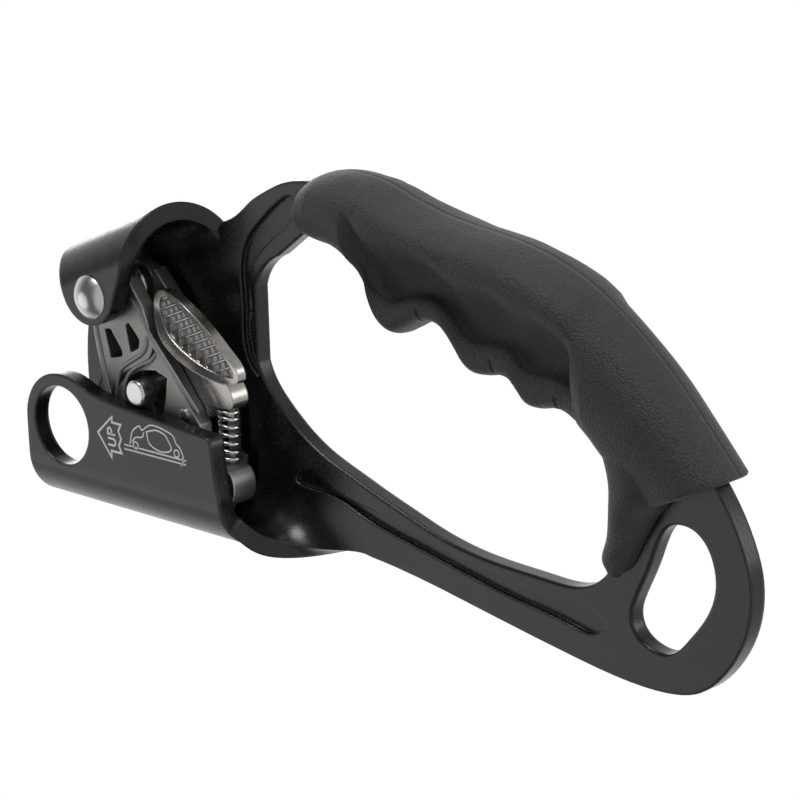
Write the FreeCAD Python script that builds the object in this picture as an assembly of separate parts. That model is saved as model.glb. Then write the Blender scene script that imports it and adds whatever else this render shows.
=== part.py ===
"""Rope ascender: folded plate frame, moulded grip, toothed cam and safety catch.

Millimetres.  +Z is the rope's upward direction, +X runs towards the grip and +Y
runs through the plate, away from the side that carries the cam.  The origin is on
the rope channel's centre line, level with the middle of the cam's bite.
"""
import FreeCAD, Part
import math
import os

V = FreeCAD.Vector

# ---- driving dimensions ------------------------------------------------------
SHEET = 4.0                # thickness of the frame plate
CHANNEL_R = 7.5            # inside radius of the rope channel
BEND_R = CHANNEL_R + SHEET  # outside radius of both folds
PLATE_FRONT = CHANNEL_R
PLATE_BACK = CHANNEL_R + SHEET
PLATE_MID = (PLATE_FRONT + PLATE_BACK) / 2
FRAME_TOP = 47.0
CHANNEL_FOOT = -15.4       # where the channel wall starts to open out
EDGE_R = 0.5
GROOVE_DEPTH = 1.3

UPPER_HOLE = (8.2, 35.3)
UPPER_HOLE_R = 9.1
HEAD_R = 11.8              # rounded head of the front flange

LUG_TOP = (35.2, 39.1)     # a point on the lug fold's axis
LUG_LEAN = math.radians(23.5)
AXLE = (39.6, 23.6)
AXLE_R = 3.0
AXLE_BORE_R = 3.05
AXLE_HEAD_R = 5.0

CAM_HALF = 6.0             # half width of the cam over its two walls
CAM_SLOT = 2.5             # half width of the slot between the walls
HUB_R = 6.0
STOP_PIN = (19.2, 12.6)
STOP_PIN_R = 2.9
STOP_PIN_FRONT = -9.5
CATCH_PIVOT = (15.9, 0.3)
CATCH_PIN_R = 1.4
CATCH_BORE_R = 1.45
CATCH_HALF = 2.3
TOOTH_HEIGHT = 1.7
TOOTH_PITCH = 2.7

SPRING_Z = -7.4            # catch spring axis
SPRING_X = (5.5, 17.7)
SPRING_MEAN_R = 2.2
SPRING_WIRE_R = 0.42
SPRING_TURNS = 7
TORSION_MEAN_R = 4.75
TORSION_WIRE_R = 0.55
TORSION_PITCH = 1.2
TORSION_TURNS = 2.75


# ---- helpers -----------------------------------------------------------------
def at(p, y):
    return V(p[0], y, p[1])


def line(*points):
    return ("line", points)


def curve(*points):
    return ("curve", points)


def wire(stretches, y):
    """A closed wire in the plane at depth y, from straight and curved stretches."""
    edges = []
    for kind, points in stretches:
        if kind == "line":
            for a, b in zip(points, points[1:]):
                edges.append(Part.makeLine(at(a, y), at(b, y)))
        else:
            spline = Part.BSplineCurve()
            spline.interpolate([at(p, y) for p in points])
            edges.append(spline.toShape())
    return Part.Wire(edges)


def prism(stretches, y0, y1):
    return Part.Face(wire(stretches, y0)).extrude(V(0, y1 - y0, 0))


def loop(points):
    """A smooth closed curve through points, as one stretch."""
    return [curve(*points, points[0])]


def smooth_prism(points, y0, y1):
    spline = Part.BSplineCurve()
    spline.interpolate([at(p, y0) for p in points], PeriodicFlag=True)
    return Part.Face(Part.Wire(spline.toShape())).extrude(V(0, y1 - y0, 0))


def rod(p, radius, y0, y1):
    return Part.makeCylinder(radius, y1 - y0, at(p, y0), V(0, 1, 0))


def tube(p, inner, outer, y0, y1):
    return rod(p, outer, y0, y1).cut(rod(p, inner, y0 - 1, y1 + 1))


def arc(a, b, c):
    return Part.Arc(a, b, c).toShape()


def lug(n, t):
    """Front-view point n beyond the lug fold's axis and t down along it."""
    c, s = math.cos(LUG_LEAN), math.sin(LUG_LEAN)
    return (LUG_TOP[0] + n * c + t * s, LUG_TOP[1] + n * s - t * c)


# ---- frame -------------------------------------------------------------------
def plate_outline():
    return [
        line((0, -42), (0, FRAME_TOP), (14, 47.4)),
        curve((14, 47.4), (24, 46.8), lug(0, -6.0)),
        line(lug(0, -6.0), lug(0, 41.6)),
        curve(lug(0, 41.6), (54.6, 1.8), (56.4, 0.4)),
        curve((56.4, 0.4), (57.2, -1.8), (59.4, -5.3), (62.2, -8.6), (65.0, -13.2),
              (67.6, -18.6), (69.0, -25), (69.2, -33), (68.6, -42), (66.6, -52.5),
              (64.3, -60.5), (62.7, -67.5), (61.5, -77.5), (60.1, -89), (57.5, -97.5),
              (54.0, -103.5), (48.0, -111.5), (39.5, -121.8), (31.5, -130.4),
              (25.5, -135.8)),
        curve((25.5, -135.8), (18.4, -140.8), (12.3, -143.8), (7.2, -145.4), (2.0, -145.8),
              (-4.0, -144.8), (-10.4, -141.9), (-16.2, -137.3), (-19.8, -132.4),
              (-21.4, -127.0), (-21.9, -120.5), (-21.6, -113), (-19.6, -97.7),
              (-17.1, -82.5), (-14.4, -67.2), (-12.3, -54), (-11.0, -42)),
        line((-11.0, -42), (0, -42)),
    ]


def hand_opening():
    left = curve((0.5, -108.9), (-2.6, -105.6), (-4.5, -101), (-4.9, -92), (-4.0, -73),
                 (-1.8, -61), (0.9, -52), (3.7, -43.2), (6.0, -36.6), (9.0, -28.4),
                 (12.8, -21.6), (17.4, -15.8), (21.8, -11.6), (26.4, -9.3))
    under_grip = curve((57.4, -24.6), (60.4, -31), (59.8, -39), (56.5, -48.5),
                       (51.5, -59), (47.5, -68), (43.2, -78), (40.2, -88), (37.5, -97),
                       (33.5, -105), (28, -111.5), (22, -115.4), (16, -116),
                       (9.5, -114.2), (4, -111.5), (0.5, -108.9))
    crown = curve((43.2, -9.3), (46.8, -11.0), (51.3, -16.6))
    return [left, line((26.4, -9.3), (43.2, -9.3)), crown,
            line((51.3, -16.6), (57.4, -24.6)), under_grip]


LOWER_EYE = [(-13.7, -123.1), (-12.8, -118.9), (-10.7, -116.1), (-7.6, -115.1),
             (-4.2, -116.0), (0.5, -118.3), (5.6, -120.6), (10.4, -122.6),
             (13.2, -124.8), (14.2, -127.8), (13.6, -131.4), (11.2, -134.3),
             (7.6, -136.0), (3.5, -136.5), (-1.3, -135.3), (-5.6, -132.7),
             (-9.7, -129.3), (-12.6, -126.3)]

ARM_GROOVE = [(-11.4, -108.0), (-13.6, -105.6), (-13.2, -98), (-11.2, -84), (-8.4, -68),
              (-5.6, -54), (-2.4, -40), (0.6, -28), (2.4, -19.8), (4.0, -21.4),
              (2.0, -31), (0.1, -40), (-2.4, -53), (-5.2, -68), (-7.4, -84),
              (-8.4, -98), (-8.8, -105.6)]

CROWN_GROOVE = [(23.6, -8.4), (28.5, -5.2), (38, -4.9), (47.0, -4.7), (53.0, -6.6),
                (59.2, -12.2), (64.4, -18.6), (65.2, -21.0), (63.4, -22.0),
                (60.6, -21.2), (55.6, -15.8), (49.2, -9.2), (44.4, -7.4), (38, -7.3),
                (30, -7.3)]


def channel_section(z, radius, degrees):
    """Sheet cross-section that bends forward by an angle from the plate's plane."""
    centre = PLATE_BACK - radius
    inner = radius - SHEET

    def on(r, share):
        a = math.radians(degrees) * share
        return V(-r * math.sin(a), centre + r * math.cos(a), z)

    return Part.Wire([
        Part.makeLine(on(inner, 0), on(radius, 0)),
        arc(on(radius, 0), on(radius, 0.5), on(radius, 1)),
        Part.makeLine(on(radius, 1), on(inner, 1)),
        arc(on(inner, 1), on(inner, 0.5), on(inner, 0)),
    ])


def flat_section(z, width):
    """The same cross-section where the wall has run out into the flat plate."""
    corners = [V(0, PLATE_FRONT, z), V(0, PLATE_BACK, z),
               V(-width, PLATE_BACK, z), V(-width, PLATE_FRONT, z)]
    return Part.makePolygon(corners + corners[:1])


def flange_outline():
    cx, cz = UPPER_HOLE
    top = [(cx + HEAD_R * math.sin(a), cz + HEAD_R * math.cos(a))
           for a in (math.radians(k) for k in (0, 22.5, 45, 67.5, 90))]
    return [
        line((0, CHANNEL_FOOT), (0, FRAME_TOP), top[0]),
        curve(*top, (19.3, 30.4), (17.6, 25.6), (16.6, 20.0), (15.9, 12.6),
              (15.5, 6.0), (14.9, -2.0), (14.4, -11.2)),
        curve((14.4, -11.2), (13.9, -12.9), (12.4, -13.5)),
        curve((12.4, -13.5), (6.0, -14.2), (0, CHANNEL_FOOT)),
    ]


def channel():
    half_pipe = Part.makeCylinder(BEND_R, FRAME_TOP - CHANNEL_FOOT, V(0, 0, CHANNEL_FOOT))
    half_pipe = half_pipe.cut(Part.makeCylinder(CHANNEL_R, 200, V(0, 0, -100)))
    half_pipe = half_pipe.cut(Part.makeBox(40, 60, 200, V(0, -30, -100)))
    flange = prism(flange_outline(), -PLATE_BACK, -PLATE_FRONT)
    opening_out = Part.makeLoft([
        channel_section(CHANNEL_FOOT, BEND_R, 150),
        channel_section(-17.0, 11.7, 125),
        channel_section(-19.8, 12.6, 104),
        channel_section(-22.6, 13.7, 81),
        channel_section(-26.0, 17.5, 52),
        channel_section(-32.5, 40.0, 17.9),
        channel_section(-42.0, 160.0, 3.95),
    ], True, False)
    run_out = Part.makeLoft([
        channel_section(-42.0, 160.0, 3.95),
        flat_section(-54.0, 11.0),
    ], True, True)
    return half_pipe, flange, opening_out, run_out


def lug_fold():
    """The plate's right-hand fold that carries the cam axle, and its front flap."""
    def between(start, middle, end, share):
        """A value that runs smoothly from start through middle, half way, to end."""
        return (start * (1 - share) * (1 - 2 * share) + 4 * middle * share * (1 - share)
                + end * share * (2 * share - 1))

    sections = []
    for step in range(13):
        share = step / 12
        a = math.pi * share
        top = between(-6.0, 3.6, 7.6, share)
        foot = between(41.6, 37.0, 28.0, share)
        corners = [at(lug(r * math.sin(a), t), r * math.cos(a))
                   for r, t in ((CHANNEL_R, top), (BEND_R, top), (BEND_R, foot), (CHANNEL_R, foot))]
        sections.append(Part.makePolygon(corners + corners[:1]))
    fold = Part.makeLoft(sections, True, False)
    flap = prism([
        line(lug(0, 7.6), lug(0, 28.0)),
        line(lug(0, 28.0), lug(-5.6, 22.4)),
        curve(lug(-5.6, 22.4), lug(-7.5, 20.0), lug(-8.4, 16.8), lug(-8.1, 13.6),
              lug(-6.6, 10.8), lug(-3.9, 8.6), lug(0, 7.6)),
    ], -PLATE_BACK, -PLATE_FRONT)
    return fold, flap


def softened(shape, radius, wanted):
    """Round the chosen edges over."""
    edges = [e for e in shape.Edges if wanted(e)]
    return shape.makeFillet(radius, edges)


def rivet_countersink():
    """The rivet's closed end, flush with the plate's back."""
    depth = 1.5
    return Part.makeCone(AXLE_R, AXLE_R + depth, depth, at(AXLE, PLATE_BACK - depth), V(0, 1, 0))


def build_frame():
    plate = prism(plate_outline(), PLATE_FRONT, PLATE_BACK)
    plate = plate.cut(prism(hand_opening(), PLATE_FRONT - 1, PLATE_BACK + 1))
    plate = plate.cut(smooth_prism(LOWER_EYE, PLATE_FRONT - 1, PLATE_BACK + 1))

    def rim(edge):
        box = edge.BoundBox
        flat = box.YLength < 1e-4
        low = box.ZMax < -42.5
        opening = box.XMin > -5.5 and box.ZMax < -9
        return flat and (low or opening)

    plate = softened(plate, EDGE_R, rim)

    frame = plate.fuse([*channel(), *lug_fold()])
    frame = frame.removeSplitter()
    for groove in (ARM_GROOVE, CROWN_GROOVE):
        frame = frame.cut(smooth_prism(groove, 0, PLATE_FRONT + GROOVE_DEPTH))
    frame = frame.cut(rivet_countersink())
    frame = frame.cut(rod(UPPER_HOLE, UPPER_HOLE_R, -20, 20))
    frame = frame.cut(rod(AXLE, AXLE_R, -20, 20))
    return frame


# ---- grip --------------------------------------------------------------------
# Cross-sections from the grip's top to its lower end: finger side, palm side,
# half thickness, and how much of the finger hollow the section carries.
GRIP_SECTIONS = [
    ((58.6, -28.4), (68.6, -28.0), 5.0, 0.0),
    ((57.2, -30.4), (71.6, -30.6), 8.2, 0.0),
    ((56.0, -36.0), (72.9, -37.0), 10.6, 0.0),
    ((53.8, -42.2), (72.5, -43.2), 11.3, 0.3),
    ((47.2, -47.0), (71.5, -48.2), 11.7, 0.8),
    ((41.3, -51.0), (70.3, -52.4), 12.0, 1.0),
    ((41.6, -55.4), (69.0, -56.8), 12.0, 1.0),
    ((44.2, -61.0), (67.6, -62.0), 12.0, 1.0),
    ((42.6, -66.2), (66.5, -66.6), 12.0, 1.0),
    ((36.4, -72.2), (65.7, -72.0), 12.0, 1.0),
    ((35.7, -76.0), (65.2, -77.0), 12.0, 1.0),
    ((36.2, -80.6), (64.7, -82.0), 12.0, 1.0),
    ((33.6, -87.0), (64.0, -87.6), 12.0, 1.0),
    ((31.5, -91.8), (62.9, -92.4), 12.0, 1.0),
    ((31.6, -97.0), (61.3, -97.8), 11.9, 1.0),
    ((30.2, -102.8), (58.6, -103.4), 11.8, 0.9),
    ((27.0, -108.0), (54.6, -109.2), 11.6, 0.7),
    ((23.0, -112.4), (49.6, -115.6), 11.3, 0.4),
    ((20.2, -116.2), (43.4, -123.0), 11.0, 0.1),
    ((18.2, -119.4), (35.0, -131.6), 10.4, 0.0),
    ((16.6, -122.6), (25.4, -139.6), 9.6, 0.0),
]

TOE_SECTIONS = [
    ((26.8, -112.4), (20.8, -122.0), 6.5, 0.0),
    ((19.9, -112.6), (15.6, -121.4), 7.6, 0.0),
    ((13.9, -111.8), (11.5, -119.6), 7.0, 0.0),
    ((7.9, -109.8), (6.2, -117.4), 6.4, 0.0),
    ((3.8, -108.2), (2.2, -115.0), 5.6, 0.0),
    ((1.5, -108.7), (0.8, -112.8), 3.8, 0.0),
]

PLAIN = [(0, 0), (0.02, 0.30), (0.08, 0.58), (0.17, 0.78), (0.28, 0.91), (0.39, 0.98),
         (0.50, 1.0), (0.61, 0.99), (0.72, 0.93), (0.83, 0.80), (0.92, 0.59),
         (0.98, 0.31), (1, 0)]
HOLLOW = [(0, 0), (0.015, 0.20), (0.06, 0.38), (0.14, 0.46), (0.25, 0.45), (0.34, 0.42),
          (0.43, 0.56), (0.53, 0.84), (0.66, 0.98), (0.78, 1.0), (0.89, 0.84),
          (0.97, 0.46), (1, 0)]


def grip_section(finger, palm, half, share):
    front = []
    for plain, hollow in zip(PLAIN, HOLLOW):
        f = plain[0] + (hollow[0] - plain[0]) * share
        h = plain[1] + (hollow[1] - plain[1]) * share
        x = finger[0] + (palm[0] - finger[0]) * f
        z = finger[1] + (palm[1] - finger[1]) * f
        front.append((x, z, half * h))
    points = [V(x, PLATE_MID - h, z) for x, z, h in front]
    points += [V(x, PLATE_MID + h, z) for x, z, h in front[-2:0:-1]]
    spline = Part.BSplineCurve()
    steps = [float(k) for k in range(len(points) + 1)]
    spline.interpolate(points, PeriodicFlag=True, Parameters=steps)
    return Part.Wire(spline.toShape())


def build_grip():
    body = Part.makeLoft([grip_section(*s) for s in GRIP_SECTIONS], True, False)
    toe = Part.makeLoft([grip_section(*s) for s in TOE_SECTIONS], True, False)
    core = prism(plate_outline(), PLATE_FRONT, PLATE_BACK)
    core = core.cut(prism(hand_opening(), PLATE_FRONT - 1, PLATE_BACK + 1))
    core = core.cut(smooth_prism(LOWER_EYE, PLATE_FRONT - 1, PLATE_BACK + 1))
    skin = body.fuse(toe).cut(core)
    near = Part.makeBox(200, 60, 300, V(-60, PLATE_MID - 60, -200))
    far = Part.makeBox(200, 60, 300, V(-60, PLATE_MID, -200))
    return skin.common(near), skin.common(far)


# ---- cam ---------------------------------------------------------------------
TOOTH_FACE = [(-2.6, -12.0), (-3.8, -6.0), (-4.0, 0.0), (-3.4, 7.0), (-2.0, 14.0)]


def tooth_face_x(z):
    for (xa, za), (xb, zb) in zip(TOOTH_FACE, TOOTH_FACE[1:]):
        if za <= z <= zb:
            return xa + (xb - xa) * (z - za) / (zb - za)
    return TOOTH_FACE[0][0]


def hub(degrees):
    a = math.radians(degrees)
    return (AXLE[0] + HUB_R * math.cos(a), AXLE[1] + HUB_R * math.sin(a))


def cam_outline():
    return [
        curve(*TOOTH_FACE),
        curve((-2.0, 14.0), (1.2, 18.2), (8.0, 22.4), (18.9, 26.4), (31.4, 29.2), hub(100)),
        curve(*[hub(k) for k in (100, 68, 34, 0, -32, -64)]),
        line(hub(-64), (30.9, 12.0), (31.4, 9.6), (14.4, -4.4), (6.6, -4.4)),
        line((6.6, -4.4), (5.4, -5.6), (5.4, -12.8)),
        curve((5.4, -12.8), (3.4, -14.2), (0.2, -14.2), (-2.6, -12.0)),
    ]


def rounded(stretches, radius):
    """A window through both cheeks, with rounded corners."""
    window = prism(stretches, -20, 20)
    return window.makeFillet(radius, [e for e in window.Edges if e.BoundBox.YLength > 39])


def build_cam():
    cam = prism(cam_outline(), -CAM_HALF, CAM_HALF)
    slot = prism([
        line((5.4, -24), (5.4, 11.5)),
        curve((5.4, 11.5), (7.5, 16.4), (18.5, 22.6), (31.0, 25.4), (36.0, 26.2)),
        line((36.0, 26.2), (52, 34), (52, -24), (5.4, -24)),
    ], -CAM_SLOT, CAM_SLOT)
    cam = cam.cut(slot)
    upper_window = rounded([line((24.6, 24.0), (31.0, 25.6), (31.4, 23.3), (26.9, 19.8),
                               (25.6, 19.8), (24.6, 24.0))], 0.8)
    lower_window = rounded([line((26.9, 17.3), (32.6, 18.6), (34.0, 17.4), (30.4, 13.9),
                               (28.4, 14.3), (26.9, 17.3))], 0.7)
    pin_window = prism([
        line((12.0, 7.6), (12.0, 18.0)),
        curve((12.0, 18.0), (16.5, 19.4), (20.7, 18.6), (23.2, 14.6), (24.4, 9.4)),
        line((24.4, 9.4), (23.2, 5.4), (12.0, 7.6)),
    ], -20, 0)
    groove = prism([
        curve((13.0, 23.6), (19.4, 22.6), (22.6, 18.8), (25.6, 12.4), (29.4, 9.9)),
        line((29.4, 9.9), (28.6, 8.9)),
        curve((28.6, 8.9), (24.6, 11.6), (21.6, 18.0), (18.8, 21.2), (13.0, 22.2)),
        line((13.0, 22.2), (13.0, 23.6)),
    ], -20, -CAM_HALF + 1.0)
    for hole in (upper_window, lower_window, pin_window, groove):
        cam = cam.cut(hole)

    teeth = []
    rows = 8
    for row in range(rows):
        z = -7.2 + row * TOOTH_PITCH
        shift = 0 if row % 2 else 0.5
        count = 4 if row % 2 else 3
        for k in range(count):
            y = (k - (count - 1) / 2) * 2.8
            base = V(tooth_face_x(z) + 0.5, y, z)
            teeth.append(Part.makeCone(1.15, 0.25, TOOTH_HEIGHT + 0.5, base,
                                       V(-1, 0, -0.28)))
    seat = Part.makeCylinder(1.5, 2.6, V(5.2, 0, SPRING_Z), V(1, 0, 0))
    cam = cam.fuse(teeth + [seat]).removeSplitter()
    rear_ear = prism([line(hub(-64), (44.4, 17.8), (37.2, 10.9), (30.6, 7.6),
                           (28.0, 12.0), hub(-64))], CAM_SLOT, CAM_HALF)
    front_ear = prism([line(hub(-50), (44.0, 17.4), (38.2, 12.6), (30.6, 9.6),
                            (28.0, 12.0), hub(-50))], -CAM_HALF, -CAM_SLOT)
    cam = cam.fuse([rear_ear, front_ear]).removeSplitter()
    cam = cam.cut(rod(AXLE, HUB_R - 0.3, -CAM_SLOT, CAM_SLOT))
    cam = cam.cut(Part.makeBox(14.0, 8, 14, V(-8.6, 0.6, -20.5)))
    cam = cam.cut(rod(AXLE, AXLE_BORE_R, -20, 20))
    cam = cam.cut(rod(CATCH_PIVOT, CATCH_PIN_R, -20, 20))
    cam = cam.cut(rod(STOP_PIN, STOP_PIN_R - 0.7, -3, 20))
    return cam


def build_stop_pin():
    shank = rod(STOP_PIN, STOP_PIN_R, STOP_PIN_FRONT, CAM_SLOT)
    shank = shank.fuse(rod(STOP_PIN, STOP_PIN_R - 0.7, CAM_SLOT - 0.5, CAM_HALF))
    return shank.removeSplitter().makeChamfer(
        0.4, [e for e in shank.removeSplitter().Edges
              if abs(e.CenterOfMass.y - STOP_PIN_FRONT) < 1e-4 and e.BoundBox.YLength < 1e-4])


def build_axle():
    """Rivet through the lug, the cam and the plate, with a domed head at the front."""
    shank = rod(AXLE, AXLE_R, -PLATE_BACK - 0.5, PLATE_BACK)
    dome_h = 2.4
    ball_r = (AXLE_HEAD_R ** 2 + dome_h ** 2) / (2 * dome_h)
    dome = Part.makeSphere(ball_r, at(AXLE, -PLATE_BACK + ball_r - dome_h))
    dome = dome.common(rod(AXLE, AXLE_HEAD_R, -PLATE_BACK - dome_h, -PLATE_BACK))
    return shank.fuse([dome, rivet_countersink()]).removeSplitter()


# ---- safety catch ------------------------------------------------------------
PAD_OUTLINE = [(38.4, 11.0), (41.2, 10.3), (42.5, 7.6), (42.3, 4.0), (41.0, -0.4),
               (38.7, -4.4), (35.2, -8.2), (31.2, -12.0), (27.4, -14.8), (25.3, -14.5),
               (24.4, -12.0), (24.7, -8.2), (25.8, -4.2), (27.4, -0.2), (29.4, 3.6),
               (31.8, 7.0), (35.0, 9.7)]
PAD_MIDDLE = (33.2, -2.0)
PAD_LEAN = (0.50, 0.87)
PAD_HOLLOW_R = 9.0
PAD_THICK = 1.6
PAD_RIM = 1.7


def inset(points, by):
    """Points of a clockwise loop moved inwards, square to the loop."""
    moved = []
    for before, point, after in zip(points[-1:] + points, points, points[1:] + points[:1]):
        dx, dz = after[0] - before[0], after[1] - before[1]
        share = by / math.hypot(dx, dz)
        moved.append((point[0] + dz * share, point[1] - dx * share))
    return moved


def pad_drum(radius):
    start = (PAD_MIDDLE[0] - 40 * PAD_LEAN[0], PAD_MIDDLE[1] - 40 * PAD_LEAN[1])
    axis = V(PAD_LEAN[0], 0, PAD_LEAN[1])
    return Part.makeCylinder(radius, 80, at(start, -12.2), axis)


def build_catch():
    lever = prism([
        line((15.0, 3.25), (24.0, 4.8), (31.0, 7.2), (36.4, 8.4), (37.4, 6.6),
             (33.4, 1.2), (28.6, -3.8), (25.2, -7.0)),
        curve((25.2, -7.0), (23.8, -9.4), (21.6, -10.9), (19.4, -11.2), (17.9, -10.2)),
        line((17.9, -10.2), (17.9, -3.0), (15.0, -2.7), (15.0, 3.25)),
    ], -CATCH_HALF, CATCH_HALF)
    boss = rod(CATCH_PIVOT, 3.1, -CATCH_HALF, CATCH_HALF)
    leaf = smooth_prism(PAD_OUTLINE, -9, 2)
    heart = smooth_prism(inset(PAD_OUTLINE, PAD_RIM), -10, 4)
    pad = leaf.common(pad_drum(PAD_HOLLOW_R + PAD_THICK))
    pad = pad.cut(pad_drum(PAD_HOLLOW_R - 0.6))
    pad = pad.cut(pad_drum(PAD_HOLLOW_R).common(heart))
    seat = Part.makeCylinder(1.5, 2.8, V(15.3, 0, SPRING_Z), V(1, 0, 0))
    catch = lever.fuse([boss, pad, seat]).removeSplitter()
    return catch.cut(rod(CATCH_PIVOT, CATCH_BORE_R, -20, 20))


# ---- springs -----------------------------------------------------------------
def coil(mean_r, wire_r, pitch, turns):
    path = Part.makeLongHelix(pitch, pitch * turns, mean_r)
    ring = Part.Wire(Part.makeCircle(wire_r, V(mean_r, 0, 0), V(0, 1, 0)))
    sweep = Part.Wire(path).makePipeShell([ring], True, True)
    return sweep


def build_catch_spring():
    length = SPRING_X[1] - SPRING_X[0] - 2 * SPRING_WIRE_R
    spring = coil(SPRING_MEAN_R, SPRING_WIRE_R, length / SPRING_TURNS, SPRING_TURNS)
    spring.rotate(V(0, 0, 0), V(0, 1, 0), 90)
    spring.translate(V(SPRING_X[0] + SPRING_WIRE_R, 0, SPRING_Z))
    return spring


def build_torsion_spring():
    height = TORSION_PITCH * TORSION_TURNS
    spring = coil(TORSION_MEAN_R, TORSION_WIRE_R, TORSION_PITCH, TORSION_TURNS)
    spring.translate(V(0, 0, -height / 2))
    spring.rotate(V(0, 0, 0), V(1, 0, 0), -90)
    spring.rotate(V(0, 0, 0), V(0, 1, 0), 75)
    spring.translate(at(AXLE, 0))
    return spring


# ---- build -------------------------------------------------------------------
os.makedirs("parts", exist_ok=True)
frame = build_frame()
grip_front, grip_back = build_grip()
nodes = {
    "frame": frame,
    "grip_front": grip_front,
    "grip_back": grip_back,
    "cam": build_cam(),
    "cam_axle": build_axle(),
    "axle_washer_front": tube(AXLE, AXLE_BORE_R, 4.8, -6.95, -6.1),
    "axle_washer_rear": tube(AXLE, AXLE_BORE_R, 4.8, 6.1, 6.95),
    "spring_sleeve": tube(AXLE, AXLE_BORE_R, 3.9, -2.4, 2.4),
    "cam_torsion_spring": build_torsion_spring(),
    "cam_stop_pin": build_stop_pin(),
    "safety_catch": build_catch(),
    "catch_pivot_pin": rod(CATCH_PIVOT, CATCH_PIN_R, -CAM_HALF - 0.4, CAM_HALF + 0.2),
    "catch_spring": build_catch_spring(),
}
for name, shape in nodes.items():
    box = shape.BoundBox
    print(name, shape.ShapeType, len(shape.Solids), shape.isValid(), round(shape.Volume, 1),
          [round(c, 1) for c in (box.XMin, box.XMax, box.YMin, box.YMax, box.ZMin, box.ZMax)])
    shape.exportStep("parts/" + name + ".step")
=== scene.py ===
"""Rope ascender: finishes, moulded grip, knurling, cast ribs, catch spring and marks."""

import math

import bpy
import numpy as np
from mathutils import Matrix, Vector


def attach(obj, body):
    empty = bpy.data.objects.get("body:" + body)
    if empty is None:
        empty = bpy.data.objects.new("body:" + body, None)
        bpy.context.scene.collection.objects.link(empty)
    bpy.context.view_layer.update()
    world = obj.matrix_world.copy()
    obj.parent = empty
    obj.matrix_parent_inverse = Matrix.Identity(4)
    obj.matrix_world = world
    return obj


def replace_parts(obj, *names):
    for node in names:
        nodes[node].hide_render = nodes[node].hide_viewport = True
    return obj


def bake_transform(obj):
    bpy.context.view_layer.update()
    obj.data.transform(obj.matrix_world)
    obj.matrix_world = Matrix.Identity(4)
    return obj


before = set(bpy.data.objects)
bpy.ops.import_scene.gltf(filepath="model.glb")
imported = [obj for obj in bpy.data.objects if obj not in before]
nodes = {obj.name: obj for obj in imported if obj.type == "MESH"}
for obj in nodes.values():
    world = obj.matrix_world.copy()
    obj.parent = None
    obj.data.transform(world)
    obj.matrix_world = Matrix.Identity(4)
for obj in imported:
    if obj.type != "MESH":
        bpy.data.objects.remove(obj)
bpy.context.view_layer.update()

PLATE_MID = 0.0095          # the plate's middle plane, where the grip's halves meet
GRAIN = 1000.0              # texture scale that gives one noise cell per millimetre


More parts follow.
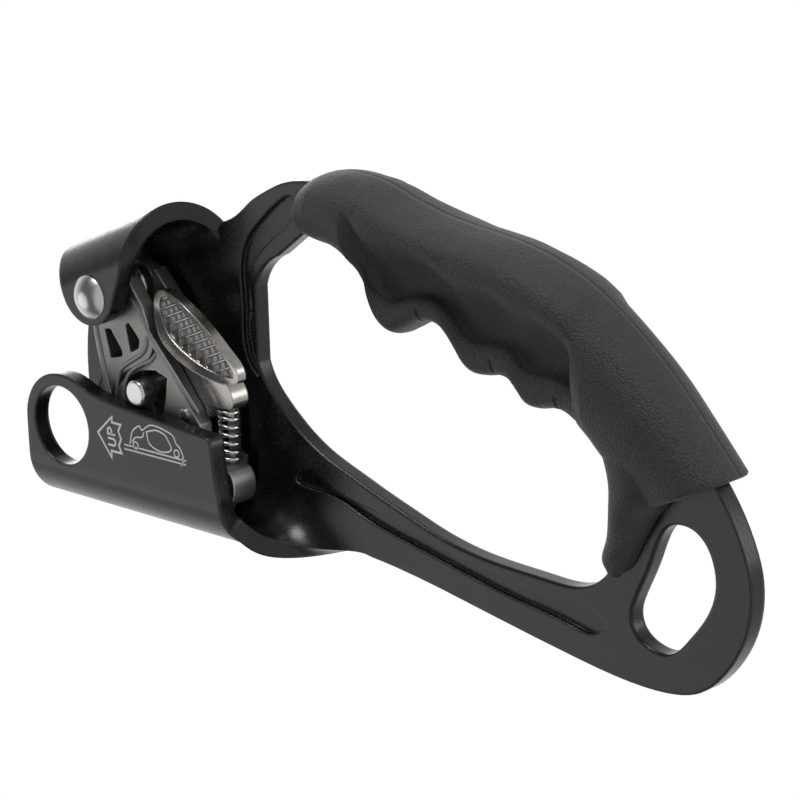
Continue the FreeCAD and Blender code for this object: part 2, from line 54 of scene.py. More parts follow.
# ---- materials ---------------------------------------------------------------
class Finish:
    """A principled material with the texture nodes that its finish needs."""

    def __init__(self, name, **sockets):
        self.material = bpy.data.materials.new(name)
        self.material.use_nodes = True
        self.nodes = self.material.node_tree.nodes
        self.links = self.material.node_tree.links
        self.shader = self.nodes["Principled BSDF"]
        self.where = self.nodes.new("ShaderNodeTexCoord").outputs["Object"]
        self.normal = None
        for socket, value in sockets.items():
            self.shader.inputs[socket.replace("_", " ")].default_value = value

    def noise(self, cell, detail=3.0, roughness=0.5, distortion=0.0):
        """Noise whose cells are about `cell` millimetres across."""
        node = self.nodes.new("ShaderNodeTexNoise")
        node.inputs["Scale"].default_value = GRAIN / cell
        node.inputs["Detail"].default_value = detail
        node.inputs["Roughness"].default_value = roughness
        node.inputs["Distortion"].default_value = distortion
        self.links.new(self.where, node.inputs["Vector"])
        return node.outputs["Fac"]

    def cells(self, cell, feature="F1", smoothness=None):
        """Distance from the middles of cells that are about `cell` millimetres across."""
        node = self.nodes.new("ShaderNodeTexVoronoi")
        node.feature = feature
        node.inputs["Scale"].default_value = GRAIN / cell
        if smoothness is not None:
            node.inputs["Smoothness"].default_value = smoothness
        self.links.new(self.where, node.inputs["Vector"])
        return node.outputs["Distance"]

    def span(self, value, low, high, to_low=0.0, to_high=1.0):
        """The value stretched from one range to another, and held at its ends."""
        node = self.nodes.new("ShaderNodeMapRange")
        node.clamp = True
        for socket, number in (("From Min", low), ("From Max", high),
                               ("To Min", to_low), ("To Max", to_high)):
            node.inputs[socket].default_value = number
        self.links.new(value, node.inputs["Value"])
        return node.outputs["Result"]

    def math(self, kind, a, b):
        node = self.nodes.new("ShaderNodeMath")
        node.operation = kind
        for socket, value in zip(node.inputs, (a, b)):
            if isinstance(value, (int, float)):
                socket.default_value = value
            else:
                self.links.new(value, socket)
        return node.outputs["Value"]

    def blend(self, share, low, high):
        """A colour between two colours, or between a colour and another blend."""
        node = self.nodes.new("ShaderNodeMix")
        node.data_type = "RGBA"
        self.links.new(share, node.inputs["Factor"])
        for socket, value in ((node.inputs[6], low), (node.inputs[7], high)):
            if isinstance(value, tuple):
                socket.default_value = (*value, 1.0)
            else:
                self.links.new(value, socket)
        return node.outputs[2]

    def edges(self, radius, sharp=0.12):
        """One along the edges, broken up by noise, and zero elsewhere: these edges are coloured
        lighter, partly as wear and partly as a painted highlight.
        """
        bevel = self.nodes.new("ShaderNodeBevel")
        bevel.samples = 6
        bevel.inputs["Radius"].default_value = radius
        flat = self.nodes.new("ShaderNodeNewGeometry").outputs["Normal"]
        dot = self.nodes.new("ShaderNodeVectorMath")
        dot.operation = "DOT_PRODUCT"
        self.links.new(bevel.outputs["Normal"], dot.inputs[0])
        self.links.new(flat, dot.inputs[1])
        bent = self.span(dot.outputs["Value"], 1.0 - sharp, 0.995, 1.0, 0.0)
        return self.math("MULTIPLY", bent, self.span(self.noise(1.6, 4.0), 0.3, 0.55, 0.35, 1.0))

    def soften(self, radius):
        """Rounds the look of sharp edges."""
        bevel = self.nodes.new("ShaderNodeBevel")
        bevel.samples = 6
        bevel.inputs["Radius"].default_value = radius
        self.normal = bevel.outputs["Normal"]

    def bump(self, height, strength, depth):
        """Bump by a height from 0 to 1, `depth` metres deep, over any earlier bump."""
        node = self.nodes.new("ShaderNodeBump")
        node.inputs["Strength"].default_value = strength
        node.inputs["Distance"].default_value = depth
        self.links.new(height, node.inputs["Height"])
        if self.normal is not None:
            self.links.new(self.normal, node.inputs["Normal"])
        self.normal = node.outputs["Normal"]

    def set(self, colour=None, roughness=None):
        """Links what was built to the shader and gives the finished material."""
        if colour is not None:
            self.links.new(colour, self.shader.inputs["Base Color"])
        if roughness is not None:
            self.links.new(roughness, self.shader.inputs["Roughness"])
        if self.normal is not None:
            self.links.new(self.normal, self.shader.inputs["Normal"])
        return self.material


def black_anodised():
    """Bead-blasted aluminium, anodised black; its edges are coloured grey, partly as wear and
    partly as a painted highlight.
    """
    f = Finish("black_anodised", Specular_IOR_Level=0.55)
    cloud = f.noise(14.0, 3.0)
    speckle = f.noise(0.32, 2.0)
    wear_and_highlight = f.edges(0.00030)
    f.soften(0.0010)
    body = f.blend(cloud, (0.0040, 0.0040, 0.0042), (0.0070, 0.0070, 0.0072))
    fleck = f.span(speckle, 0.60, 0.80, 0.0, 0.35)
    body = f.blend(fleck, body, (0.07, 0.07, 0.07))
    # Grey along the edges: partly wear, partly painted highlight.
    colour = f.blend(wear_and_highlight, body, (0.075, 0.075, 0.077))
    rough = f.math("ADD", f.span(cloud, 0.3, 0.7, 0.20, 0.29),
                   f.span(speckle, 0.3, 0.7, -0.05, 0.06))
    f.bump(speckle, 0.35, 0.00008)
    f.bump(f.noise(2.2, 4.0), 0.14, 0.00015)
    return f.set(colour, rough)


def cast_steel():
    """Investment-cast cam: blasted grey faces with its ridges polished by handling, smoother
    there and also coloured lighter as a painted highlight.
    """
    f = Finish("cast_steel", Metallic=1.0)
    cloud = f.noise(6.0, 4.0)
    grain = f.noise(0.38, 3.0, 0.6)
    wear_and_highlight = f.edges(0.0008, 0.25)
    f.soften(0.0006)
    body = f.blend(cloud, (0.25, 0.245, 0.235), (0.36, 0.35, 0.335))
    # Lighter along the ridges: polish from handling, and partly painted highlight.
    colour = f.blend(wear_and_highlight, body, (0.66, 0.65, 0.63))
    rough = f.span(cloud, 0.3, 0.7, 0.40, 0.54)
    rough = f.math("SUBTRACT", rough, f.math("MULTIPLY", wear_and_highlight, 0.20))
    f.bump(grain, 0.45, 0.00010)
    f.bump(f.noise(1.7, 3.0), 0.20, 0.00014)
    return f.set(colour, rough)


def polished_steel(name, low, high, rough_low, rough_high, dents):
    """Tumbled, polished steel with fine scratches."""
    f = Finish(name, Metallic=1.0)
    cloud = f.noise(5.0, 4.0)
    scratch = f.noise(0.5, 5.0, 0.7, 1.5)
    f.soften(0.0004)
    colour = f.blend(cloud, low, high)
    rough = f.math("ADD", f.span(cloud, 0.3, 0.7, rough_low, rough_high),
                   f.span(scratch, 0.45, 0.75, 0.0, 0.10))
    f.bump(f.noise(2.4, 3.0), dents, 0.00010)
    return f.set(colour, rough)


def spring_wire():
    """Bright drawn wire with faint lines."""
    f = Finish("spring_wire", Metallic=1.0)
    drawn = f.noise(0.25, 2.0)
    colour = f.blend(f.noise(2.0), (0.60, 0.59, 0.57), (0.80, 0.79, 0.77))
    f.bump(drawn, 0.10, 0.00003)
    return f.set(colour, f.span(drawn, 0.3, 0.7, 0.16, 0.30))


def washer_nylon():
    """Black nylon, half matt."""
    f = Finish("washer_nylon", Subsurface_Weight=0.05)
    f.shader.inputs["Subsurface Radius"].default_value = (0.0006, 0.0006, 0.0005)
    cloud = f.noise(1.5, 3.0)
    f.bump(cloud, 0.15, 0.00005)
    return f.set(f.blend(cloud, (0.035, 0.035, 0.036), (0.055, 0.055, 0.055)),
                 f.span(cloud, 0.3, 0.7, 0.42, 0.56))


def grip_rubber():
    """Matt charcoal rubber moulded with a leather-like grain, with painted shade darkening the
    grain's creases.
    """
    f = Finish("grip_rubber", Specular_IOR_Level=0.42, Sheen_Weight=0.10, Sheen_Roughness=0.5)
    f.shader.inputs["Sheen Tint"].default_value = (0.75, 0.75, 0.72, 1.0)
    cloud = f.noise(11.0, 4.0)
    creases = f.cells(0.46, "SMOOTH_F1", 0.30)
    fine = f.noise(0.30, 2.0, 0.6)
    colour = f.blend(cloud, (0.030, 0.030, 0.0295), (0.040, 0.040, 0.0385))
    # Painted shade: the grain's creases, its low spots, are coloured darker.
    colour = f.blend(f.span(creases, 0.35, 0.75, 0.0, 0.6), colour, (0.018, 0.018, 0.0175))
    rough = f.math("ADD", f.span(cloud, 0.3, 0.7, 0.48, 0.58),
                   f.span(fine, 0.3, 0.7, -0.06, 0.06))
    f.bump(f.span(creases, 0.2, 0.8, 1.0, 0.0), 0.75, 0.00016)
    f.bump(fine, 0.60, 0.00011)
    return f.set(colour, rough)


def etched_mark():
    """Laser-etched marking: the bare metal's light grey, slightly uneven."""
    f = Finish("etched_mark", Metallic=0.2)
    patch = f.noise(0.7, 4.0)
    f.bump(patch, 0.2, 0.00003)
    return f.set(f.blend(patch, (0.62, 0.62, 0.62), (0.85, 0.85, 0.84)),
                 f.span(patch, 0.3, 0.7, 0.45, 0.65))


def stage_floor():
    """A matt pale floor, barely uneven in tone."""
    f = Finish("stage_floor")
    cloud = f.noise(900.0, 2.0)
    return f.set(f.blend(cloud, (0.83, 0.83, 0.83), (0.86, 0.86, 0.86)),
                 f.span(cloud, 0.3, 0.7, 0.80, 0.88))


BLACK = black_anodised()
CAST = cast_steel()
CATCH = polished_steel("catch_steel", (0.42, 0.405, 0.38), (0.52, 0.505, 0.475),
                       0.18, 0.28, 0.20)
# Painted shade: the knurled cells are a darker copy of the catch's polished steel, standing in
# for the shade among them; the higher roughness is their own finish.
SHADED_KNURL = polished_steel("knurled_steel_shaded", (0.20, 0.196, 0.185), (0.29, 0.283, 0.27),
                       0.26, 0.38, 0.25)
BRIGHT = polished_steel("bright_steel", (0.64, 0.64, 0.63), (0.76, 0.76, 0.75),
                        0.20, 0.30, 0.12)
WIRE = spring_wire()
NYLON = washer_nylon()
RUBBER = grip_rubber()
MARK = etched_mark()

NODE_FINISH = {
    "frame": BLACK,
    "cam": CAST,
    "cam_axle": BRIGHT,
    "axle_washer_front": NYLON,
    "axle_washer_rear": NYLON,
    "spring_sleeve": NYLON,
    "cam_torsion_spring": WIRE,
    "cam_stop_pin": BRIGHT,
    "safety_catch": CATCH,
    "catch_pivot_pin": BRIGHT,
    "catch_spring": WIRE,
}
for name, material in NODE_FINISH.items():
    for holder in nodes[name].material_slots:
        holder.material = material


# ---- mesh helpers ------------------------------------------------------------
def piece(name, verts, faces, material, body, smooth=True):
    """A mesh object that rides on a body, or on none."""
    mesh = bpy.data.meshes.new(name)
    mesh.from_pydata([tuple(v) for v in verts], [], faces)
    mesh.validate()
    mesh.polygons.foreach_set("use_smooth", [smooth] * len(mesh.polygons))
    mesh.materials.append(material)
    obj = bpy.data.objects.new(name, mesh)
    bpy.context.scene.collection.objects.link(obj)
    if body is not None:
        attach(obj, body)
    return obj


def through(points, count):
    """`count` points evenly spaced in parameter on a smooth curve through `points`."""
    p = np.array(points, dtype=float)
    p = np.vstack([2 * p[0] - p[1], p, 2 * p[-1] - p[-2]])
    out = []
    for t in np.linspace(0, len(points) - 1 - 1e-9, count):
        k = int(t)
        u = t - k
        a, b, c, d = p[k:k + 4]
        out.append(0.5 * (2 * b + (c - a) * u + (2 * a - 5 * b + 4 * c - d) * u ** 2
                          + (3 * b - a - 3 * c + d) * u ** 3))
    return np.array(out)


# ---- grip --------------------------------------------------------------------
FINGER_EDGE = [
    (0.0586, -0.0270), (0.0574, -0.0292), (0.0569, -0.0330), (0.0563, -0.0380),
    (0.0546, -0.0424), (0.0520, -0.0456), (0.0484, -0.0474), (0.0446, -0.0481),
    (0.0415, -0.0496), (0.0403, -0.0527), (0.0418, -0.0562), (0.0440, -0.0603),
    (0.0447, -0.0640), (0.0440, -0.0669), (0.0421, -0.0692), (0.0394, -0.0714),
    (0.0369, -0.0733), (0.0357, -0.0755), (0.0358, -0.0784), (0.0365, -0.0820),
    (0.0360, -0.0855), (0.0338, -0.0879), (0.0317, -0.0900), (0.0314, -0.0926),
    (0.0321, -0.0960), (0.0321, -0.0998), (0.0306, -0.1034), (0.0288, -0.1062),
    (0.0267, -0.1090), (0.0240, -0.1116), (0.0215, -0.1145), (0.0190, -0.1185),
    (0.0178, -0.1212),
]
PALM_EDGE = [
    (0.0672, -0.0266), (0.0700, -0.0286), (0.0719, -0.0324), (0.0728, -0.0380),
    (0.0726, -0.0440), (0.0716, -0.0500), (0.0694, -0.0570), (0.0676, -0.0645),
    (0.0665, -0.0720), (0.0657, -0.0800), (0.0647, -0.0870), (0.0628, -0.0950),
    (0.0594, -0.1037), (0.0548, -0.1115), (0.0497, -0.1185), (0.0438, -0.1254),
    (0.0355, -0.1334), (0.0270, -0.1412),
]
FINGER_Z = [-0.0270, -0.1030, -0.1124, -0.1212]    # finger heights and the palm heights
PALM_Z = [-0.0266, -0.1034, -0.1160, -0.1412]      # that face them
PLAIN = [(0, 0), (0.02, 0.30), (0.06, 0.50), (0.12, 0.68), (0.19, 0.81), (0.25, 0.88),
         (0.30, 0.925), (0.38, 0.97), (0.48, 1.0), (0.60, 0.99), (0.72, 0.93), (0.82, 0.81),
         (0.91, 0.61), (0.975, 0.33), (1, 0)]
HOLLOW = [(0, 0), (0.012, 0.22), (0.045, 0.42), (0.11, 0.52), (0.19, 0.52), (0.235, 0.45),
          (0.262, 0.30), (0.34, 0.27), (0.47, 0.36), (0.58, 0.55), (0.69, 0.86), (0.79, 0.97),
          (0.90, 0.83), (0.97, 0.47), (1, 0)]
HALF_AT = ([-0.1228, -0.1160, -0.1080, -0.0920, -0.0510, -0.0420, -0.0330, -0.0290, -0.0262],
           [0.0096, 0.0110, 0.0116, 0.0120, 0.0120, 0.0113, 0.0102, 0.0088, 0.0066])
HOLLOW_AT = ([-0.1090, -0.1065, -0.1045, -0.1010, -0.0530, -0.0500, -0.0475, -0.0448],
             [0.0, 0.12, 0.75, 1.0, 1.0, 0.9, 0.6, 0.0])
TOE = [  # finger side, eye side and half thickness along the strip under the opening
    ((0.0300, -0.1062), (0.0420, -0.1270), 0.0084),
    ((0.0232, -0.1114), (0.0236, -0.1282), 0.0104),
    ((0.0165, -0.1124), (0.0142, -0.1220), 0.0096),
    ((0.0100, -0.1106), (0.0080, -0.1184), 0.0072),
    ((0.0048, -0.1084), (0.0028, -0.1156), 0.0058),
    ((0.0015, -0.1087), (0.0008, -0.1128), 0.0038),
]
BACK_SHARE = 0.80           # the back half is flatter than the front half
SEAM = 0.00010              # how far the parting line sinks in
HALF_GAP = 0.00003          # how far each half stays off the middle plane
FINGER_RINGS = 420          # fine enough for the slits
PALM_STEPS = 200
TOE_RINGS = 40
RING_POINTS = 64
TOE_RING_POINTS = 24
# Size and outward shift of the rings that round off each end.
HEAD_CAP = [(0.96, 0.0003), (0.88, 0.0006), (0.66, 0.0008), (0.30, 0.0009), (0.05, 0.0009)]
TAIL_CAP = [(0.985, 0.0004), (0.95, 0.0007), (0.90, 0.0008), (0.5, 0.00085), (0.05, 0.00085)]
TIP_CAP = [(0.90, 0.0006), (0.70, 0.0011), (0.40, 0.0014), (0.05, 0.0015)]

SLITS = [  # height on the finger edge, and how far in from the edge each slit ends
    (-0.0615, 0.0040), (-0.0818, 0.0046), (-0.0874, 0.0030), (-0.0990, 0.0042),
    (-0.1085, 0.0020),
]
SLIT_HALF = 0.00034         # half width along the finger edge
SLIT_DEPTH = 0.00110
SLIT_FADE = 0.0008          # length over which a slit's inner end runs out
SLIT_LIMIT = 0.8            # most of the skin's depth that a slit may take


def half_ring(finger, palm, half, hollow, side, count=RING_POINTS):
    """Points from the finger edge round one side of the grip to the palm edge."""
    profile = (1 - hollow) * np.array(PLAIN) + hollow * np.array(HOLLOW)
    profile = through(profile, count)
    finger, palm = np.array(finger), np.array(palm)
    width = np.linalg.norm(palm - finger)
    profile[0, 0] += SEAM / width
    profile[-1, 0] -= SEAM / width
    flat = finger + np.outer(profile[:, 0], palm - finger)
    depth = PLATE_MID + side * (HALF_GAP + half * np.maximum(profile[:, 1], 0))
    return np.column_stack([flat[:, 0], depth, flat[:, 1]])


def cap_rings(ring, next_ring, steps):
    """Smaller and smaller rings that round off an end, outermost last."""
    middle = (ring[0] + ring[-1]) / 2
    out = Vector(middle - (next_ring[0] + next_ring[-1]) / 2)
    chord = Vector(ring[-1] - ring[0]).normalized()
    out = (out - chord * out.dot(chord)).normalized()
    rings = []
    for scale, shift in steps:
        rings.append(middle + (ring - middle) * scale + np.array(out) * shift)
    return rings


def closed_half(rings, flip):
    """A closed mesh from half rings: its round side, its flat side and its two ends."""
    count = len(rings[0])
    verts = [v for ring in rings for v in ring]
    faces = []
    for row in range(len(rings) - 1):
        a, b = row * count, (row + 1) * count
        for k in range(count - 1):
            faces.append((a + k, a + k + 1, b + k + 1, b + k))
        faces.append((a + count - 1, a, b, b + count - 1))
    faces.append(tuple(range(count - 1, -1, -1)))
    faces.append(tuple(range(len(verts) - count, len(verts))))
    if flip:
        faces = [tuple(reversed(f)) for f in faces]
    return verts, faces


def slit(ring, finger, side):
    """Sinks a ring where it crosses one of the narrow slits by the finger edge."""
    for height, reach in SLITS:
        sunk = max(0.0, 1 - abs(finger[1] - height) / SLIT_HALF)
        if sunk:
            in_from_edge = np.hypot(ring[:, 0] - finger[0], ring[:, 2] - finger[1])
            fade = np.clip((reach - in_from_edge) / SLIT_FADE, 0, 1)
            ring[:, 1] -= side * np.minimum(SLIT_DEPTH * sunk * fade,
                                            SLIT_LIMIT * abs(ring[:, 1] - PLATE_MID))
    return ring


def grip_half(name, side):
    """One half of the moulding: its body and toe, on the -Y or +Y side of the plate."""
    finger = through(FINGER_EDGE, FINGER_RINGS)
    palm = through(PALM_EDGE, PALM_STEPS)
    rings = []
    for f in finger:
        z = np.interp(-f[1], [-v for v in FINGER_Z], PALM_Z)
        p = (np.interp(-z, -palm[:, 1], palm[:, 0]), z)
        half = np.interp(f[1], *HALF_AT) * (BACK_SHARE if side > 0 else 1.0)
        hollow = np.interp(f[1], *HOLLOW_AT)
        ring = half_ring(f, p, half, hollow, side)
        rings.append(slit(ring, f, side))
    head = cap_rings(rings[0], rings[3], HEAD_CAP)
    tail = cap_rings(rings[-1], rings[-4], TAIL_CAP)
    main = closed_half(head[::-1] + rings + tail, side > 0)

    stations = np.array([(*f, *p, h) for f, p, h in TOE])
    toe_rings = []
    for s in through(stations, TOE_RINGS):
        toe_rings.append(half_ring(s[:2], s[2:4], s[4], 0.0, side, TOE_RING_POINTS))
    tip = cap_rings(toe_rings[-1], toe_rings[-4], TIP_CAP)
    toe = closed_half(toe_rings + tip, side > 0)
    start = len(main[0])
    verts = list(main[0]) + list(toe[0])
    faces = main[1] + [tuple(i + start for i in f) for f in toe[1]]
    return piece(name, verts, faces, RUBBER, "frame")


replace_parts(grip_half("grip_skin_front", -1), "grip_front")
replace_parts(grip_half("grip_skin_back", 1), "grip_back")


# ---- catch pad knurling --------------------------------------------------------
PAD_OUTLINE = [(0.0384, 0.0110), (0.0412, 0.0103), (0.0425, 0.0076), (0.0423, 0.0040),
               (0.0410, -0.0004), (0.0387, -0.0044), (0.0352, -0.0082), (0.0312, -0.0120),
               (0.0274, -0.0148), (0.0253, -0.0145), (0.0244, -0.0120), (0.0247, -0.0082),
               (0.0258, -0.0042), (0.0274, -0.0002), (0.0294, 0.0036), (0.0318, 0.0070),
               (0.0350, 0.0097)]
PAD_MIDDLE = np.array((0.0332, -0.0020))
PAD_LEAN = np.array((0.50, 0.87)) / math.hypot(0.50, 0.87)  # along the pad, in X and Z
PAD_DRUM_Y = -0.0122        # the axis of the drum that hollows the pad
PAD_HOLLOW_R = 0.0090
PAD_HALF_WIDTH = 0.0086     # beyond this the dished face is taken as level
OUTLINE_STEPS = 120
CELL_PITCH = 0.00185
CELL_SIZE = 0.00166
CELL_SKIRT = 0.0002         # how far a cell's foot sinks in, so that no gap shows
CELL_STEP = 0.00006         # height of a cell's straight side
CELL_RISE = 0.00030         # height of its top
CELL_TOP = 0.74             # size of its top against its foot
KNURL_TURN = math.radians(38)   # from the pad's length to a row of cells
KNURL_REACH = 14            # rows and columns tried each way from the middle
KNURL_MARGIN = 0.0014       # least distance from a cell's middle to the pad's edge


def pad_surface(p):
    """The dished face's depth at a front-view point."""
    offset = p - PAD_MIDDLE
    across = offset[0] * PAD_LEAN[1] - offset[1] * PAD_LEAN[0]
    return PAD_DRUM_Y + math.sqrt(PAD_HOLLOW_R ** 2 - min(abs(across), PAD_HALF_WIDTH) ** 2)


def clear_of_rim(p, outline):
    """True if p is inside the outline and at least the margin away from it."""
    inside = False
    near = 1.0
    for a, b in zip(outline, np.roll(outline, -1, axis=0)):
        if (a[1] > p[1]) != (b[1] > p[1]):
            if p[0] < (b[0] - a[0]) * (p[1] - a[1]) / (b[1] - a[1]) + a[0]:
                inside = not inside
        run = b - a
        share = np.clip(np.dot(p - a, run) / np.dot(run, run), 0, 1)
        near = min(near, np.linalg.norm(p - a - run * share))
    return inside and near > KNURL_MARGIN


def pad_knurl():
    """Raised cells with bevelled tops over the dished pad, inside its rim."""
    outline = through(PAD_OUTLINE + PAD_OUTLINE[:1], OUTLINE_STEPS)[:-1]
    square = np.array((PAD_LEAN[1], -PAD_LEAN[0]))
    along = PAD_LEAN * math.cos(KNURL_TURN) + square * math.sin(KNURL_TURN)
    across = square * math.cos(KNURL_TURN) - PAD_LEAN * math.sin(KNURL_TURN)
    verts, faces = [], []
    for row in range(-KNURL_REACH, KNURL_REACH + 1):
        for column in range(-KNURL_REACH, KNURL_REACH + 1):
            middle = PAD_MIDDLE + (along * row + across * column) * CELL_PITCH
            if not clear_of_rim(middle, outline):
                continue
            start = len(verts)
            for size, rise in ((1.0, -CELL_SKIRT), (1.0, CELL_STEP), (CELL_TOP, CELL_RISE)):
                for u, v in ((-1, -1), (1, -1), (1, 1), (-1, 1)):
                    p = middle + (along * u + across * v) * CELL_SIZE / 2 * size
                    verts.append((p[0], pad_surface(p) - rise, p[1]))
            for ring in (0, 4):
                for k in range(4):
                    a, b = start + ring + k, start + ring + (k + 1) % 4
                    faces.append((a, b, b + 4, a + 4))
            faces.append((start + 8, start + 9, start + 10, start + 11))
            faces.append((start + 3, start + 2, start + 1, start))
    return piece("pad_knurl", verts, faces, SHADED_KNURL, "catch", smooth=False)


pad_knurl()


# ---- cam ribs ------------------------------------------------------------------
CHEEK = -0.0060             # the front cheek's outer face
RIBS = {                    # middle lines on the cheek, and half widths
    "cam_rib_spine": ([(0.0400, 0.0168), (0.0372, 0.0141), (0.0322, 0.0104), (0.0277, 0.0061),
                       (0.0232, 0.0017), (0.0187, -0.0027), (0.0170, -0.0042)], 0.00060),
    "cam_rib_upper": ([(0.0318, 0.0116), (0.0296, 0.0118), (0.0275, 0.0132), (0.0255, 0.0163),
                       (0.0236, 0.0193), (0.0212, 0.0212), (0.0160, 0.0224),
                       (0.0105, 0.0218)], 0.00058),
    "cam_rib_lower": ([(0.0284, 0.0088), (0.0266, 0.0102), (0.0250, 0.0135), (0.0228, 0.0170),
                       (0.0200, 0.0190), (0.0160, 0.0198), (0.0115, 0.0182)], 0.00050),
    "cam_rib_back": ([(0.0335, 0.0282), (0.0302, 0.0280), (0.0260, 0.0270), (0.0215, 0.0259),
                      (0.0160, 0.0244), (0.0100, 0.0222)], 0.00045),
}
RIB_RISE = 0.00050
RIB_STEPS = 48
RIB_SIDES = 10
TAPER_STEPS = 5             # steps over which each end thins out
TAPER_TIP = 0.4             # and how many of them the very end counts as


def rib(name, points, half_width):
    """A half-round cast rib on the cam's front cheek, with tapered ends."""
    path = through(points, RIB_STEPS)
    along = np.gradient(path, axis=0)
    along /= np.linalg.norm(along, axis=1)[:, None]
    verts, faces = [], []
    for k, (p, run) in enumerate(zip(path, along)):
        taper = math.sqrt(min(1.0, (min(k, len(path) - 1 - k) + TAPER_TIP) / TAPER_STEPS))
        for step in range(RIB_SIDES):
            a = 2 * math.pi * step / RIB_SIDES
            across = half_width * taper * math.cos(a)
            rise = RIB_RISE * taper * math.sin(a)
            verts.append((p[0] - run[1] * across, CHEEK - rise, p[1] + run[0] * across))
    for k in range(len(path) - 1):
        for step in range(RIB_SIDES):
            a, b = k * RIB_SIDES + step, k * RIB_SIDES + (step + 1) % RIB_SIDES
            faces.append((a, b, b + RIB_SIDES, a + RIB_SIDES))
    faces.append(tuple(range(RIB_SIDES - 1, -1, -1)))
    faces.append(tuple(range(len(verts) - RIB_SIDES, len(verts))))
    return piece(name, verts, faces, CAST, "cam")


for rib_name, (rib_points, rib_half_width) in RIBS.items():
    rib(rib_name, rib_points, rib_half_width)


# ---- catch spring --------------------------------------------------------------
SPRING_Z = -0.0074          # the coil's axis runs along X at this height
SPRING_FOOT = 0.0059        # wire middle at the tail's end of the coil
SPRING_HEAD = 0.0173        # and at the catch's end
SPRING_MEAN_R = 0.0022
SPRING_WIRE_R = 0.00042
SPRING_TURNS = 7
STEPS_PER_TURN = 36
WIRE_SIDES = 12
CLOSED_TURNS = ([0, 0.8, 6.2, 7], [0, 0.06, 0.94, 1])   # turns, and share of the length


def catch_spring():
    """A coil with closed ends from its foot to its head; it rides on no body."""
    steps, sides = STEPS_PER_TURN * SPRING_TURNS, WIRE_SIDES
    verts, faces = [], []
    for k in range(steps + 1):
        turn = SPRING_TURNS * k / steps
        share = np.interp(turn, *CLOSED_TURNS)
        x = SPRING_FOOT + (SPRING_HEAD - SPRING_FOOT) * share
        a = 2 * math.pi * turn
        for step in range(sides):
            b = 2 * math.pi * step / sides
            r = SPRING_MEAN_R + SPRING_WIRE_R * math.cos(b)
            verts.append((x + SPRING_WIRE_R * math.sin(b), r * math.sin(a),
                          SPRING_Z + r * math.cos(a)))
    for k in range(steps):
        for step in range(sides):
            a, b = k * sides + step, k * sides + (step + 1) % sides
            faces.append((a, b, b + sides, a + sides))
    faces.append(tuple(range(sides - 1, -1, -1)))
    faces.append(tuple(range(len(verts) - sides, len(verts))))
    coil = piece("catch_spring_coil", verts, faces, WIRE, None)
    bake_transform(coil)
    return coil


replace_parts(catch_spring(), "catch_spring")


# ---- flange marks --------------------------------------------------------------
FLANGE_TOP = -0.0115        # the flange's outer face
MARK_WIDTH = 0.00050
FINE_MARK = 0.00034
MARK_RISE = 0.00003
MITRE_LIMIT = 0.45          # keeps a sharp corner from running out to a spike
CURVE_STEPS = 40
RING_CORNERS = 16


def stroke(points, width=MARK_WIDTH, closed=False):
    """A thin raised ribbon that follows front-view points on the flange's face."""
    p = np.array(points)
    count = len(p)
    verts, faces = [], []
    for k in range(count):
        before = p[k - 1] if (k or closed) else p[k]
        after = p[(k + 1) % count] if (k < count - 1 or closed) else p[k]
        into, away = p[k] - before, after - p[k]
        into = into / (np.linalg.norm(into) or 1)
        away = away / (np.linalg.norm(away) or 1)
        run = into + away
        run = run / (np.linalg.norm(run) or 1)
        spread = max(MITRE_LIMIT, abs(np.dot(run, away if away.any() else into)))
        side = np.array((-run[1], run[0])) * width / 2 / spread
        for sign in (1, -1):
            for rise in (MARK_RISE, -MARK_RISE):
                x, z = p[k] + sign * side
                verts.append((x, FLANGE_TOP - rise, z))
    links = count if closed else count - 1
    for k in range(links):
        a, b = 4 * k, 4 * ((k + 1) % count)
        for i, j in ((0, 2), (2, 3), (3, 1), (1, 0)):
            faces.append((a + i, a + j, b + j, b + i))
    if not closed:
        faces.append((0, 1, 3, 2))
        end = 4 * (count - 1)
        faces.append((end, end + 2, end + 3, end + 1))
    return verts, faces


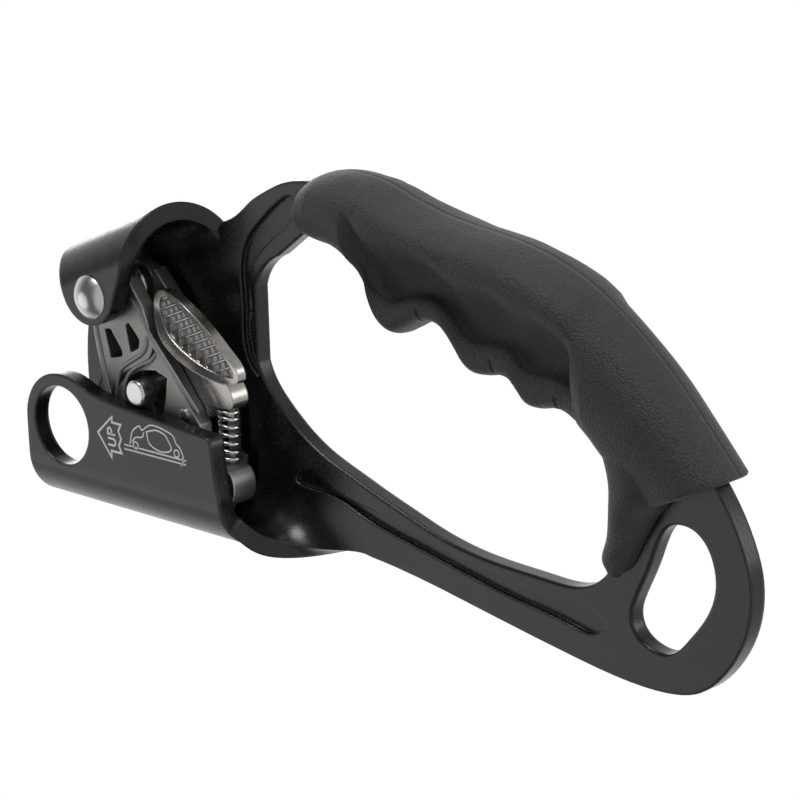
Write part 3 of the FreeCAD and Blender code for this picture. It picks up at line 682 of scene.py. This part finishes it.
def marks():
    """The UP arrow and the line drawing of the tool on its rope."""
    arrow = [(0.0090, 0.0230), (0.0134, 0.0181), (0.0121, 0.0182), (0.0121, 0.0153),
             (0.0105, 0.0162), (0.0088, 0.0154), (0.0071, 0.0162), (0.0055, 0.0154),
             (0.0055, 0.0187), (0.0039, 0.0188)]
    u = [(0.0068, 0.0197), (0.0068, 0.0178), (0.0072, 0.0173), (0.0079, 0.0173),
         (0.0083, 0.0178), (0.0083, 0.0197)]
    p = [(0.0093, 0.0173), (0.0093, 0.0197), (0.0103, 0.0197), (0.0107, 0.0193),
         (0.0107, 0.0189), (0.0103, 0.0185), (0.0093, 0.0185)]
    rope = [[(0.0078, 0.0144), (0.0079, -0.0056)], [(0.0068, 0.0144), (0.0070, -0.0055)]]
    outline = [(0.0083, 0.0124), (0.0102, 0.0120), (0.0117, 0.0112), (0.0130, 0.0092),
               (0.0122, 0.0083), (0.0138, 0.0058), (0.0139, 0.0029), (0.0134, 0.0002),
               (0.0128, -0.0017), (0.0113, -0.0025), (0.0102, -0.0039), (0.0081, -0.0047),
               (0.0064, -0.0039)]
    hand_hole = [(0.0121, 0.0069), (0.0130, 0.0040), (0.0126, 0.0012), (0.0112, -0.0002),
                 (0.0097, -0.0010), (0.0087, 0.0005), (0.0085, 0.0033), (0.0096, 0.0061)]
    inner_line = [(0.0089, 0.0118), (0.0101, 0.0105), (0.0106, 0.0084), (0.0118, 0.0078)]
    parts = [stroke(arrow, closed=True), stroke(u), stroke(p)]
    parts += [stroke(line, FINE_MARK) for line in rope]
    parts += [stroke(through(line, CURVE_STEPS), FINE_MARK) for line in (outline, inner_line)]
    parts += [stroke(through(hand_hole + hand_hole[:1], CURVE_STEPS)[:-1], FINE_MARK,
                     closed=True)]
    for middle, radius in (((0.0083, 0.0106), 0.0008), ((0.0090, -0.0026), 0.0008)):
        ring = [(middle[0] + radius * math.cos(a), middle[1] + radius * math.sin(a))
                for a in np.linspace(0, 2 * math.pi, RING_CORNERS + 1)[:-1]]
        parts += [stroke(ring, FINE_MARK, closed=True)]
    verts, faces = [], []
    for part_verts, part_faces in parts:
        start = len(verts)
        verts += part_verts
        faces += [tuple(i + start for i in f) for f in part_faces]
    return piece("flange_marks", verts, faces, MARK, "frame", smooth=False)


marks()


# ---- studio --------------------------------------------------------------------
FLOOR_Z = -1.35
FLOOR_RADIUS = 7.0
ROOM_LIGHT = 0.08           # what the surfaces see in front of the object
BACKDROP_LIGHT = 1.0        # and behind it
LENS_MM = 162.0
VIEW_FROM = (0.23917, -0.50857, -0.55737)
VIEW_AHEAD = (-0.2832, 0.6852, 0.6710)
VIEW_UP = (0.9587, 0.2218, 0.1781)
OBJECT_MIDDLE = Vector((0.022, 0.002, -0.045))


def studio():
    """A pale floor, and a world that is bright behind the object and dim before it."""
    bpy.ops.mesh.primitive_circle_add(vertices=96, radius=FLOOR_RADIUS, fill_type="NGON",
                                      location=(0, 0, FLOOR_Z))
    floor = bpy.context.object
    floor.name = "stage_floor"
    floor.data.materials.append(stage_floor())

    world = bpy.data.worlds.new("studio")
    world.use_nodes = True
    sky = world.node_tree
    background = sky.nodes["Background"]
    background.inputs["Color"].default_value = (1, 1, 1, 1)
    towards = sky.nodes.new("ShaderNodeTexCoord").outputs["Generated"]
    facing = sky.nodes.new("ShaderNodeVectorMath")
    facing.operation = "DOT_PRODUCT"
    facing.inputs[1].default_value = Vector(VIEW_AHEAD).normalized()
    sky.links.new(towards, facing.inputs[0])
    glow = sky.nodes.new("ShaderNodeMapRange")
    glow.interpolation_type = "SMOOTHSTEP"
    for socket, number in (("From Min", -0.1), ("From Max", 0.9),
                           ("To Min", ROOM_LIGHT), ("To Max", BACKDROP_LIGHT)):
        glow.inputs[socket].default_value = number
    sky.links.new(facing.outputs["Value"], glow.inputs["Value"])
    seen = sky.nodes.new("ShaderNodeLightPath").outputs["Is Camera Ray"]
    strength = sky.nodes.new("ShaderNodeMix")
    sky.links.new(seen, strength.inputs[0])
    sky.links.new(glow.outputs["Result"], strength.inputs[2])
    strength.inputs[3].default_value = 1.0
    sky.links.new(strength.outputs[0], background.inputs["Strength"])
    bpy.context.scene.world = world
    bpy.context.scene.view_settings.view_transform = "Standard"


def area_light(name, place, aim, size, power):
    """A round light of that size in metres and power in watts, turned towards aim."""
    lamp = bpy.data.lights.new(name, "AREA")
    lamp.shape = "DISK"
    lamp.size = size
    lamp.energy = power
    obj = bpy.data.objects.new(name, lamp)
    obj.location = place
    obj.rotation_euler = (Vector(aim) - Vector(place)).to_track_quat("-Z", "Y").to_euler()
    obj.visible_camera = False
    bpy.context.scene.collection.objects.link(obj)


def camera():
    """The camera at the photograph's angle; gives its right, up and backward directions."""
    lens = bpy.data.cameras.new("camera")
    lens.lens = LENS_MM
    lens.sensor_width = 36.0
    lens.clip_start = 0.01
    lens.clip_end = 50.0
    obj = bpy.data.objects.new("camera", lens)
    back = -Vector(VIEW_AHEAD).normalized()
    up = Vector(VIEW_UP)
    up = (up - back * up.dot(back)).normalized()
    right = up.cross(back)
    turn = Matrix((right, up, back)).transposed()
    obj.matrix_world = Matrix.Translation(VIEW_FROM) @ turn.to_4x4()
    bpy.context.scene.collection.objects.link(obj)
    bpy.context.scene.camera = obj
    return right, up, back


studio()
right, up, back = camera()


def placed(across, above, before):
    """A point that far across, above and in front of the object, as the camera sees it."""
    return OBJECT_MIDDLE + right * across + up * above + back * before


front_up = Vector((-0.28, -0.685, 0.67))
area_light("soft_front", OBJECT_MIDDLE + front_up * 1.2, OBJECT_MIDDLE, 0.95, 1.9)
area_light("key", placed(-0.35, 0.95, 0.45), OBJECT_MIDDLE, 0.5, 6.0)
area_light("crest", OBJECT_MIDDLE + Vector((0.11, 0.52, 0.84)), OBJECT_MIDDLE, 0.45, 1.2)
area_light("side", placed(0.9, 0.2, 0.3), OBJECT_MIDDLE, 0.5, 2.0)
